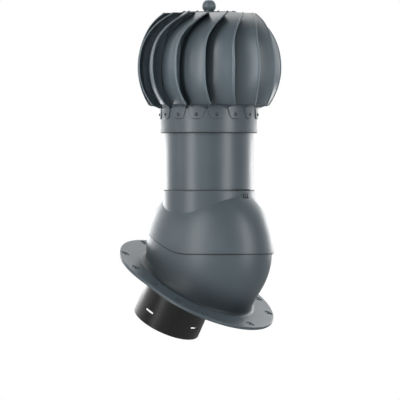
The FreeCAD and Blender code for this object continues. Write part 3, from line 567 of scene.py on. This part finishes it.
# Stage in metres and degrees, with the photograph's axis and pivot in pixels
stage = {"floorDrop": 0.32, "floorSize": 30.0, "floorTone": 0.35, "viewAzimuth": 40.0, "cameraDistance": 12.0,
         "sensor": 36, "pixel": 1.79 * mm, "axisPixel": 209.05, "pivotPixel": 250.5, "imageSize": 400}
# room seen by lights and reflections: strength in front and behind, the edge between, and its tilt
studio = {"front": 0.18, "back": 2.3, "edge": (-0.4, 1.0), "top": -0.45}
# each softbox: degrees round from the camera (right is positive), metres away and up, width, height, watts
softBoxes = {
    "keyLeft": (-46, 1.8, 0.10, 0.50, 3.2, 38),
    "sideLeft": (-80, 1.8, 0.40, 0.40, 0.8, 3),
    "keyRight": (47, 1.8, 0.10, 0.56, 3.2, 36),
    "wingLeft": (-138, 0.50, -0.02, 0.26, 0.22, 0.8),
    "wingRight": (132, 0.50, -0.02, 0.26, 0.22, 0.8),
    "topBack": (180, 0.8, 1.4, 0.9, 0.7, 8),
    "front": (-14, 2.6, 0.30, 0.9, 0.8, 4),
}
softBoxAim = 0.12  # metres over the pivot


# Unit vectors to the picture's right, away from the camera and up
def viewAxes():
    a = math.radians(stage["viewAzimuth"])
    return Vector((math.cos(a), math.sin(a), 0)), Vector((-math.sin(a), math.cos(a), 0)), Vector((0, 0, 1))


# One shader to the camera's own rays and another to all others
def splitForCamera(tree, others, camera, surface):
    path = addNode(tree, "LightPath")
    mix = addNode(tree, "MixShader")
    tree.links.new(path.outputs["Is Camera Ray"], mix.inputs[0])
    tree.links.new(others.outputs[0], mix.inputs[1])
    tree.links.new(camera.outputs[0], mix.inputs[2])
    tree.links.new(mix.outputs[0], surface)


# Floor that keeps its shadow and shows white to the camera
def makeFloor():
    low = cadBox[0][2] - stage["floorDrop"]
    half = stage["floorSize"] / 2
    corners = [(-half, -half, low), (half, -half, low), (half, half, low), (-half, half, low)]
    mesh = bpy.data.meshes.new("studioFloor")
    mesh.from_pydata(corners, [], [(0, 1, 2, 3)])
    floor = bpy.data.objects.new("studioFloor", mesh)
    bpy.context.scene.collection.objects.link(floor)
    mat, tree, shader = newMaterial("floorWhite", [stage["floorTone"]] * 3, 0.9)
    white = addNode(tree, "Emission")
    white.inputs["Color"].default_value = (1, 1, 1, 1)
    splitForCamera(tree, shader, white, tree.nodes["Material Output"].inputs["Surface"])
    floor.data.materials.append(mat)


# White to the camera; lights and reflections see a room that is dim at the front and white behind
def makeWorld():
    world = bpy.data.worlds.new("studioWorld")
    bpy.context.scene.world = world
    world.use_nodes = True
    tree = world.node_tree
    tree.nodes.clear()
    away = viewAxes()[1]
    coords = addNode(tree, "TexCoord")
    facing = addNode(tree, "VectorMath", operation="DOT_PRODUCT")
    facing.inputs[1].default_value = (away.x, away.y, studio["top"])
    tree.links.new(coords.outputs["Generated"], facing.inputs[0])
    spread = smoothRange(tree, facing.outputs["Value"], *studio["edge"], studio["front"], studio["back"])
    room = addNode(tree, "Background")
    room.inputs["Color"].default_value = (1, 1, 1, 1)
    tree.links.new(spread, room.inputs["Strength"])
    white = addNode(tree, "Background")
    white.inputs["Color"].default_value = (1, 1, 1, 1)
    white.inputs["Strength"].default_value = 1.0
    splitForCamera(tree, room, white, addNode(tree, "OutputWorld").inputs["Surface"])


# Object that stands at a place and looks along a direction
def standAt(name, data, place, look):
    obj = bpy.data.objects.new(name, data)
    bpy.context.scene.collection.objects.link(obj)
    obj.location = place
    obj.rotation_mode = "QUATERNION"
    obj.rotation_quaternion = look.to_track_quat("-Z", "Y")
    return obj


# Upright area lamp standing round the object and aimed at it
def softBox(name, turn, far, height, width, tall, watts):
    right, away, up = viewAxes()
    target = Vector(pivot) + up * softBoxAim
    lamp = bpy.data.lights.new(name, "AREA")
    lamp.shape, lamp.size, lamp.size_y, lamp.energy = "RECTANGLE", width, tall, watts
    angle = math.radians(turn)
    place = target + right * (far * math.sin(angle)) - away * (far * math.cos(angle)) + up * height
    standAt(name, lamp, place, target - place)


def makeCamera():
    right, away, up = viewAxes()
    centre = stage["imageSize"] / 2
    aim = Vector(pivot) - right * ((stage["axisPixel"] - centre) * stage["pixel"])
    aim += up * ((stage["pivotPixel"] - centre) * stage["pixel"])
    camera = bpy.data.cameras.new("camera")
    camera.sensor_width = stage["sensor"]
    camera.lens = stage["sensor"] * stage["cameraDistance"] / (stage["imageSize"] * stage["pixel"])
    camera.clip_end = 100
    bpy.context.scene.camera = standAt("camera", camera, aim - away * stage["cameraDistance"], away)


makeFloor()
makeWorld()
for lampName, settings in softBoxes.items():
    softBox(lampName, *settings)
makeCamera()
bpy.context.scene.view_settings.view_transform = "Standard"
print("stage ready")
